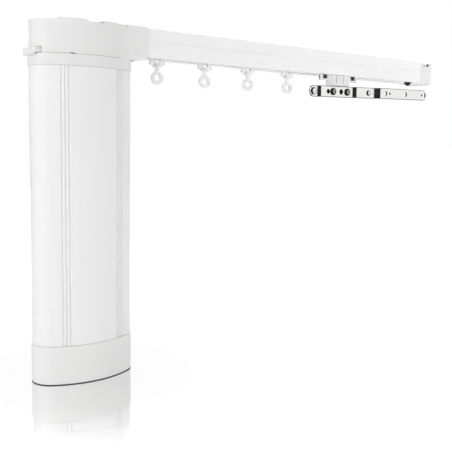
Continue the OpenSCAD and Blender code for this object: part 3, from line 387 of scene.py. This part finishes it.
# Gliders and eyes take the lighter acetal, its extra lightness painted light
for number in GLIDER_NUMBERS:
    FINISH_OF_NODE["glider_%d" % number] = acetal_painted_light
    FINISH_OF_NODE["eye_%d" % number] = acetal_painted_light


def paint(piece, name):
    """Gives a piece the finish of a CAD node."""
    piece.data.materials.clear()
    piece.data.materials.append(FINISH_OF_NODE[name])


for name, cad_node in nodes.items():
    paint(cad_node, name)


# Softened pieces: a CAD solid's own form with its moulded or rolled edges

SMOOTH_ANGLE = math.radians(32.0)
EDGE_ANGLE = math.radians(34.0)
EDGE_SEGMENTS = 2
FLAT_ANGLE = math.radians(0.4)
MERGE_GAP = 0.002 * MM


def only(piece):
    """Selects this piece alone and makes it active."""
    bpy.ops.object.select_all(action="DESELECT")
    piece.select_set(True)
    bpy.context.view_layer.objects.active = piece


def merged_copy(name):
    """A copy of a CAD node's form as one closed skin, with its flat faces whole."""
    source = nodes[name]
    piece = bpy.data.objects.new(name + "_formed", source.data.copy())
    bpy.context.scene.collection.objects.link(piece)
    only(piece)
    bpy.ops.mesh.customdata_custom_splitnormals_clear()
    bpy.ops.object.mode_set(mode="EDIT")
    bpy.ops.mesh.select_all(action="SELECT")
    bpy.ops.mesh.remove_doubles(threshold=MERGE_GAP)
    bpy.ops.mesh.dissolve_limited(angle_limit=FLAT_ANGLE, use_dissolve_boundaries=False)
    bpy.ops.object.mode_set(mode="OBJECT")
    return piece


def smooth(piece):
    """Shades the rounds smooth while the large flat faces stay flat."""
    only(piece)
    bpy.ops.object.shade_smooth_by_angle(angle=SMOOTH_ANGLE)
    weighting = piece.modifiers.new("flat_faces", "WEIGHTED_NORMAL")
    weighting.keep_sharp = True
    weighting.weight = 100
    bpy.ops.object.modifier_apply(modifier=weighting.name)


def round_edges(piece, width):
    """Rounds every edge that turns more than the edge angle."""
    only(piece)
    bevel = piece.modifiers.new("round_edges", "BEVEL")
    bevel.limit_method = "ANGLE"
    bevel.angle_limit = EDGE_ANGLE
    bevel.width = width
    bevel.segments = EDGE_SEGMENTS
    bevel.use_clamp_overlap = True
    bpy.ops.object.modifier_apply(modifier=bevel.name)
    smooth(piece)


def dress(piece, name):
    """A finished piece stands for its CAD node, on the node's body and with its finish."""
    paint(piece, name)
    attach(piece, BODY_OF_NODE[name])
    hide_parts(name)


def soften(name, width):
    """A CAD node's own form with rounded edges, or just smooth where the width is nought."""
    piece = merged_copy(name)
    if width > 0.0:
        round_edges(piece, width)
    else:
        smooth(piece)
    dress(piece, name)


# Softened nodes, with the width of their rounded edges in millimetres

EDGE_WIDTHS = {
    "bottom_cap": 0.5, "motor_sleeve": 0.0, "top_collar": 0.4, "drive_housing": 0.25, "motor_latch": 0.4,
    "track": 0.25, "end_cap": 0.35, "carrier_body": 0.25, "carrier_buffers": 0.5,
    "end_cap_washer": 0.25, "end_pin": 0.2, "belt_clamp": 0.2, "housing_base": 0.25, "power_inlet": 0.3,
    "setting_button": 0.35, "status_lamp": 0.25, "track_nut": 0.2, "motor_rings": 0.3, "gearbox": 0.3,
    "motor_can": 0.3, "drive_pulley": 0.12, "return_pulley": 0.12, "pulley_bushes": 0.15,
    "arm_screws": 0.1, "arm_rivet": 0.45, "end_cap_screw": 0.1, "track_screw": 0.1, "cap_screws": 0.1,
    "collar_screws": 0.1, "gearbox_screws": 0.1, "base_screws": 0.1, "clamp_screw": 0.1, "latch_studs": 0.15,
    "output_shaft": 0.12, "return_axle": 0.1, "wheel_axle_1": 0.1, "wheel_axle_2": 0.1,
    "carrier_wheels_1": 0.15, "carrier_wheels_2": 0.15, "belt": 0.06, "control_board": 0.08,
    "board_parts": 0.15, "inlet_contacts": 0.1,
}
for number in GLIDER_NUMBERS:
    EDGE_WIDTHS["glider_%d" % number] = 0.2
    EDGE_WIDTHS["eye_%d" % number] = 0.2
for name, width in EDGE_WIDTHS.items():
    soften(name, width * MM)


# Overlap arm: its sheared edges, hole walls and the rims of its screws and rivets are painted near-black as
# shade and reflection, the faces bright

SHADE_EDGE_FACING = 0.4
SHADE_HEAD_FACING = {"arm_screws": 0.93, "arm_rivet": 0.9}
ARM_RISE = math.radians(1.0)
ARM_HALF = 5.25 * MM
ARM_CHAMFER = 0.5 * MM
SHARP_ANGLE = math.radians(60.0)
SIDE_SHARE = 0.8
ROUND_SHARE = 0.85
TIP_REACH = 1.2 * MM
ARM_LOW, ARM_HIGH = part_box("overlap_arm")
SCREWS_LOW, SCREWS_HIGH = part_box("arm_screws")
ARM_CENTRE = (SCREWS_LOW + SCREWS_HIGH) / 2.0
painted_edge_shade = sheared_edge_and_shade()


def on_outline(point):
    """Whether a point of the strip is on its outer edge, not on a hole's rim."""
    aside = abs(point.z - ARM_CENTRE.z - (point.x - ARM_CENTRE.x) * math.tan(ARM_RISE))
    from_round = ARM_LOW.x + ARM_HALF - point.x
    on_round = from_round > 0.0 and math.hypot(from_round, aside) > ROUND_SHARE * ARM_HALF
    return aside > SIDE_SHARE * ARM_HALF or on_round or point.x > ARM_HIGH.x - TIP_REACH


def chamfer_outline(piece):
    """Breaks the strip's outer edges and leaves its punched holes sharp."""
    only(piece)
    bpy.ops.object.mode_set(mode="EDIT")
    bpy.ops.mesh.select_mode(type="EDGE")
    bpy.ops.mesh.select_all(action="DESELECT")
    bpy.ops.mesh.edges_select_sharp(sharpness=SHARP_ANGLE)
    bpy.ops.object.mode_set(mode="OBJECT")
    corners = piece.data.vertices
    outer = [edge.index for edge in piece.data.edges
             if edge.select and all(on_outline(corners[end].co) for end in edge.vertices)]
    bpy.ops.object.mode_set(mode="EDIT")
    bpy.ops.mesh.select_all(action="DESELECT")
    bpy.ops.object.mode_set(mode="OBJECT")
    for index in outer:
        piece.data.edges[index].select = True
    bpy.ops.object.mode_set(mode="EDIT")
    bpy.ops.mesh.bevel(offset=ARM_CHAMFER, segments=1, affect="EDGES", clamp_overlap=False)
    bpy.ops.object.mode_set(mode="OBJECT")
    smooth(piece)


def paint_edge_shade(piece, wanted):
    """Gives the faces that the test wants the near-black metal of painted shade and painted reflection."""
    piece.data.materials.append(painted_edge_shade)
    for face in piece.data.polygons:
        if wanted(face):
            face.material_index = 1


arm = merged_copy("overlap_arm")
chamfer_outline(arm)
dress(arm, "overlap_arm")
# Chamfers, side faces and hole walls of the strip take painted shade and painted reflection
paint_edge_shade(arm, lambda face: abs(face.normal.y) < SHADE_EDGE_FACING or abs(face.normal.z) > SHADE_EDGE_FACING)
# Screw and rivet heads: faces not turned to the front take a painted dark reflection
for name, facing in SHADE_HEAD_FACING.items():
    paint_edge_shade(bpy.data.objects[name + "_formed"], lambda face: face.normal.y > -facing)


def add(piece, body, slot):
    """A piece of the scene's own: it rides on a body and takes a slot's finish."""
    piece.data.materials.clear()
    piece.data.materials.append(FINISH_OF_SLOT[slot])
    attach(piece, body)


def pick(piece, wanted):
    """Enters edit mode with just the faces that the test wants."""
    only(piece)
    bpy.ops.object.mode_set(mode="EDIT")
    bpy.ops.mesh.select_mode(type="FACE")
    bpy.ops.mesh.select_all(action="DESELECT")
    bpy.ops.object.mode_set(mode="OBJECT")
    for face in piece.data.polygons:
        face.select = wanted(face)
    bpy.ops.object.mode_set(mode="EDIT")


# Black spring pins in the arm's side holes and pilot holes, put there as painted shade: a rolled tube, seen
# end on, black inside

ARM_THICK = 1.6 * MM
SCREW_FACE = -14.6 * MM
TIP_FACE = -23.1 * MM
# Each pin: its place along the strip, its radius and the strip's face there
SHADE_PINS = (
    (-17.2 * MM, 2.2 * MM, SCREW_FACE),
    (1.3 * MM, 2.6 * MM, SCREW_FACE),
    (66.7 * MM, 1.12 * MM, TIP_FACE),
    (120.9 * MM, 1.12 * MM, TIP_FACE),
)
PIN_SET_BACK = 0.35 * MM
PIN_BORE_DEPTH = 0.9 * MM
PIN_SIDES = 40
WALL_SHARE = 0.3
PIN_EDGE_SHARE = 0.06
END_FACING = 0.9


def shade_pin(name, along, radius, face):
    """Short tube in a hole of the strip: its front end stands back from the strip's face."""
    front = face + PIN_SET_BACK
    back = face + ARM_THICK
    centre = (ARM_CENTRE.x + along * math.cos(ARM_RISE), (front + back) / 2.0,
              ARM_CENTRE.z + along * math.sin(ARM_RISE))
    bpy.ops.object.select_all(action="DESELECT")
    bpy.ops.mesh.primitive_cylinder_add(vertices=PIN_SIDES, radius=radius, depth=back - front,
                                        location=centre, rotation=(math.pi / 2.0, 0.0, 0.0))
    piece = bpy.context.object
    piece.name = name
    bpy.ops.object.transform_apply(location=True, rotation=True, scale=True)
    pick(piece, lambda side: side.normal.y < -END_FACING)
    bpy.ops.mesh.inset(thickness=WALL_SHARE * radius)
    bpy.ops.mesh.extrude_region_move(TRANSFORM_OT_translate={"value": (0.0, PIN_BORE_DEPTH, 0.0)})
    bpy.ops.object.mode_set(mode="OBJECT")
    round_edges(piece, PIN_EDGE_SHARE * radius)
    # Blackened steel: the pin stands in for the shade in the hole
    add(piece, "carrier", "dark_steel")


for number, pin in enumerate(SHADE_PINS, 1):
    shade_pin("spring_pin_%d" % number, *pin)


# Grey bands in the motor's three joints, set just inside the outline, as painted shade of the seam gaps, and
# a black band round its foot as painted contact shadow

COLLAR_LOW, COLLAR_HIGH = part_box("top_collar")
SLEEVE_LOW, SLEEVE_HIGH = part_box("motor_sleeve")
LATCH_LOW, LATCH_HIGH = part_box("motor_latch")
LATCH_END = LATCH_LOW.x + 12.0 * MM
LATCH_HALF = LATCH_HIGH.y + 1.5 * MM
BAND_THICK = 1.0 * MM
WALL_FACING = 0.1
WALL_HEIGHT_SHARE = 0.9
PRY_AT = BASE_CENTRE[0] - 17.3 * MM
PRY_HALF = 2.1 * MM
PRY_X = (PRY_AT - PRY_HALF, PRY_AT + PRY_HALF)


def cut_pry_gap(piece):
    """Opens the band at the pry notch in the housing's front."""
    for side in PRY_X:
        bpy.ops.mesh.select_all(action="SELECT")
        bpy.ops.mesh.bisect(plane_co=(side, 0.0, 0.0), plane_no=(1.0, 0.0, 0.0))
    bpy.ops.object.mode_set(mode="OBJECT")
    pick(piece, lambda face: PRY_X[0] < face.center.x < PRY_X[1] and face.center.y < 0.0)
    bpy.ops.mesh.delete(type="FACE")


def seam_shade_band(name, level, height, inset, latch_gap=False, slot="grey_nylon"):
    """Band cut from the collar's outer wall, brought to a joint's level and thickened inwards."""
    piece = merged_copy("top_collar")
    piece.name = name
    wall = COLLAR_HIGH.z - SLEEVE_HIGH.z

    def not_wanted(face):
        levels = [piece.data.vertices[corner].co.z for corner in face.vertices]
        tall = max(levels) - min(levels) > WALL_HEIGHT_SHARE * wall
        outer = tall and min(levels) > SLEEVE_HIGH.z - MERGE_GAP and abs(face.normal.z) < WALL_FACING
        at_latch = face.center.x < LATCH_END and abs(face.center.y) < LATCH_HALF
        return not outer or (latch_gap and at_latch)

    pick(piece, not_wanted)
    bpy.ops.mesh.delete(type="FACE")
    if latch_gap:
        cut_pry_gap(piece)
    bpy.ops.mesh.select_all(action="SELECT")
    middle = (BASE_CENTRE[0], 0.0, COLLAR_HIGH.z - wall / 2.0)
    length = COLLAR_HIGH.x - COLLAR_LOW.x
    depth = COLLAR_HIGH.y - COLLAR_LOW.y
    bpy.ops.transform.resize(value=(1.0 - 2.0 * inset / length, 1.0 - 2.0 * inset / depth, height / wall),
                             center_override=middle)
    bpy.ops.transform.translate(value=(0.0, 0.0, level - middle[2]))
    bpy.ops.object.mode_set(mode="OBJECT")
    thicken = piece.modifiers.new("thicken", "SOLIDIFY")
    thicken.thickness = BAND_THICK
    thicken.offset = -1.0
    bpy.ops.object.modifier_apply(modifier=thicken.name)
    smooth(piece)
    add(piece, BODY_OF_NODE["top_collar"], slot)


# Grey bands in the joints stand in for the shade in the seam gaps
seam_shade_band("collar_seam_shade", level=COLLAR_HIGH.z + 0.3 * MM, height=0.5 * MM, inset=1.16 * MM, latch_gap=True)
seam_shade_band("sleeve_seam_shade_top", level=SLEEVE_HIGH.z - 0.15 * MM, height=0.4 * MM, inset=0.44 * MM)
seam_shade_band("sleeve_seam_shade_bottom", level=SLEEVE_LOW.z + 0.15 * MM, height=0.4 * MM, inset=0.44 * MM)
# Black band at the foot: painted contact shadow where the motor meets the floor
seam_shade_band("foot_contact_shade", level=FLOOR_Z + 0.3 * MM, height=0.55 * MM, inset=-0.1 * MM, slot="black_rubber")


# Studio: white surround, pale floor, tall soft lights round the motor, others overhead and by the track

FRONT_AMBIENT = 0.05
BACK_AMBIENT = 0.12
BACK_SPAN = (-0.2, 0.5)
DARK_GLOSS = 0.015
DARK_ROOM = (-0.72, -0.69, 0.0)
DARK_ROOM_SPAN = (0.86, 0.94)
DARK_ROOM_TOP = (0.09, 0.15)
FLOOR_SIZE = 30.0
FLOOR_GAP = 0.05 * MM
FLOOR_TONE = 0.98
FLOOR_GLOW = 0.4
FLOOR_MIRROR = 0.95
MIRROR_SPAN = (0.06, 0.27)
GLOW_SHADE_SPAN = (0.08, 0.4)
DULL_SPAN = (0.12, 0.4)
CLEAR_ROUGHNESS = 0.04
DULL_ROUGHNESS = 0.6
RING_WIDTH = 0.8
RING_HEIGHT = 1.6
RING_RADIUS = 2.09
RING_Z = 0.09
RING_AIM_Z = -0.13


def studio():
    """White to the camera; shiny metal also sees a dark room, low and at the front left."""
    world = bpy.data.worlds.new("studio_white")
    world.use_nodes = True
    bpy.context.scene.world = world
    work = Nodes(world.node_tree)
    direction = work.node("ShaderNodeTexCoord").outputs["Generated"]
    parts = work.node("ShaderNodeSeparateXYZ", None, {0: direction}).outputs
    back = work.rise(Value(work, parts[1]), *BACK_SPAN)
    up = Value(work, parts[2])
    toward = work.node("ShaderNodeVectorMath", {"operation": "DOT_PRODUCT"}, {0: direction, 1: DARK_ROOM})
    room = work.rise(Value(work, toward.outputs["Value"]), *DARK_ROOM_SPAN)
    dark = room * (1.0 - work.rise(up, *DARK_ROOM_TOP))
    gloss = 1.0 - dark * (1.0 - DARK_GLOSS)
    diffuse = FRONT_AMBIENT + back * (BACK_AMBIENT - FRONT_AMBIENT)
    glossy_ray = work.light_path("Is Glossy Ray")
    camera_ray = work.light_path("Is Camera Ray")
    strength = camera_ray + (1.0 - camera_ray) * (diffuse + glossy_ray * (gloss - diffuse))
    surround = world.node_tree.nodes["Background"]
    work.feed(surround.inputs["Strength"], strength)
    surround.inputs["Color"].default_value = (1.0, 1.0, 1.0, 1.0)


def floor():
    """Pale floor that mirrors the foot of the motor and goes dull and white further off; its glow is dimmed
    near the foot as a painted shadow.
    """
    bpy.ops.object.select_all(action="DESELECT")
    bpy.ops.mesh.primitive_plane_add(size=FLOOR_SIZE, location=(0.0, 0.0, 0.0))
    ground = bpy.context.object
    ground.name = "studio_floor"
    ground.data.transform(Matrix.Translation((0.0, 0.0, FLOOR_Z - FLOOR_GAP)))
    finish = Finish("studio_floor", Specular_IOR_Level=0.0, Emission_Strength=1.0,
                    Base_Color=grey(FLOOR_TONE))
    from_base = finish.node("ShaderNodeVectorMath", {"operation": "DISTANCE"},
                            {0: finish.place, 1: (BASE_CENTRE[0], BASE_CENTRE[1], FLOOR_Z)})
    away = Value(finish, from_base.outputs["Value"])
    seen = finish.light_path("Is Camera Ray")
    fade = finish.rise(away, *MIRROR_SPAN)
    # Glow rises with distance from the foot: it keeps the open floor white and, near the foot, leaves a
    # painted shadow
    glow_and_painted_shade = seen * (FLOOR_GLOW * fade + (1.0 - FLOOR_GLOW) * finish.rise(away, *GLOW_SHADE_SPAN))
    mirror = seen * FLOOR_MIRROR * (1.0 - fade)
    dull = CLEAR_ROUGHNESS + (DULL_ROUGHNESS - CLEAR_ROUGHNESS) * finish.rise(away, *DULL_SPAN)
    ground.data.materials.append(finish.set(Emission_Color=glow_and_painted_shade, Metallic=mirror, Roughness=dull))


def soft_light(name, place, aim, width, height, power):
    """Area lamp that lights but is seen neither by the camera nor in shiny metal."""
    data = bpy.data.lights.new(name, "AREA")
    data.shape = "RECTANGLE"
    data.size = width
    data.size_y = height
    data.energy = power
    lamp = bpy.data.objects.new(name, data)
    bpy.context.scene.collection.objects.link(lamp)
    lamp.location = place
    lamp.rotation_euler = (Vector(aim) - Vector(place)).to_track_quat("-Z", "Y").to_euler()
    lamp.visible_glossy = False
    lamp.visible_camera = False


def ring_light(name, bearing, power):
    """Tall soft light on a ring round the motor, at a bearing from the front to the left."""
    turn = math.radians(bearing)
    place = (BASE_CENTRE[0] - RING_RADIUS * math.sin(turn), -RING_RADIUS * math.cos(turn), RING_Z)
    soft_light(name, place, (BASE_CENTRE[0], 0.0, RING_AIM_Z), RING_WIDTH, RING_HEIGHT, power)


photo_camera()
studio()
floor()
ring_light("front_light", bearing=35.0, power=9.5)
ring_light("key_light", bearing=62.0, power=15.6)
ring_light("left_light", bearing=84.0, power=13.0)
ring_light("back_light", bearing=-155.0, power=20.0)
soft_light("low_right_light", place=(1.0, -0.8, -0.25), aim=(0.16, 0.0, -0.02),
           width=1.0, height=0.3, power=9.5)
soft_light("track_end_light", place=(0.28, -0.4, -0.12), aim=(0.2, 0.0, -0.02),
           width=0.3, height=0.2, power=0.22)
soft_light("under_light", place=(0.07, 0.02, -0.27), aim=(0.07, 0.021, 0.0),
           width=0.25, height=0.1, power=0.12)
soft_light("overhead_light", place=(-0.1, -0.1, 1.9), aim=(-0.1, -0.1, 0.0),
           width=2.0, height=2.0, power=37.0)

bpy.context.scene.view_settings.view_transform = "Standard"
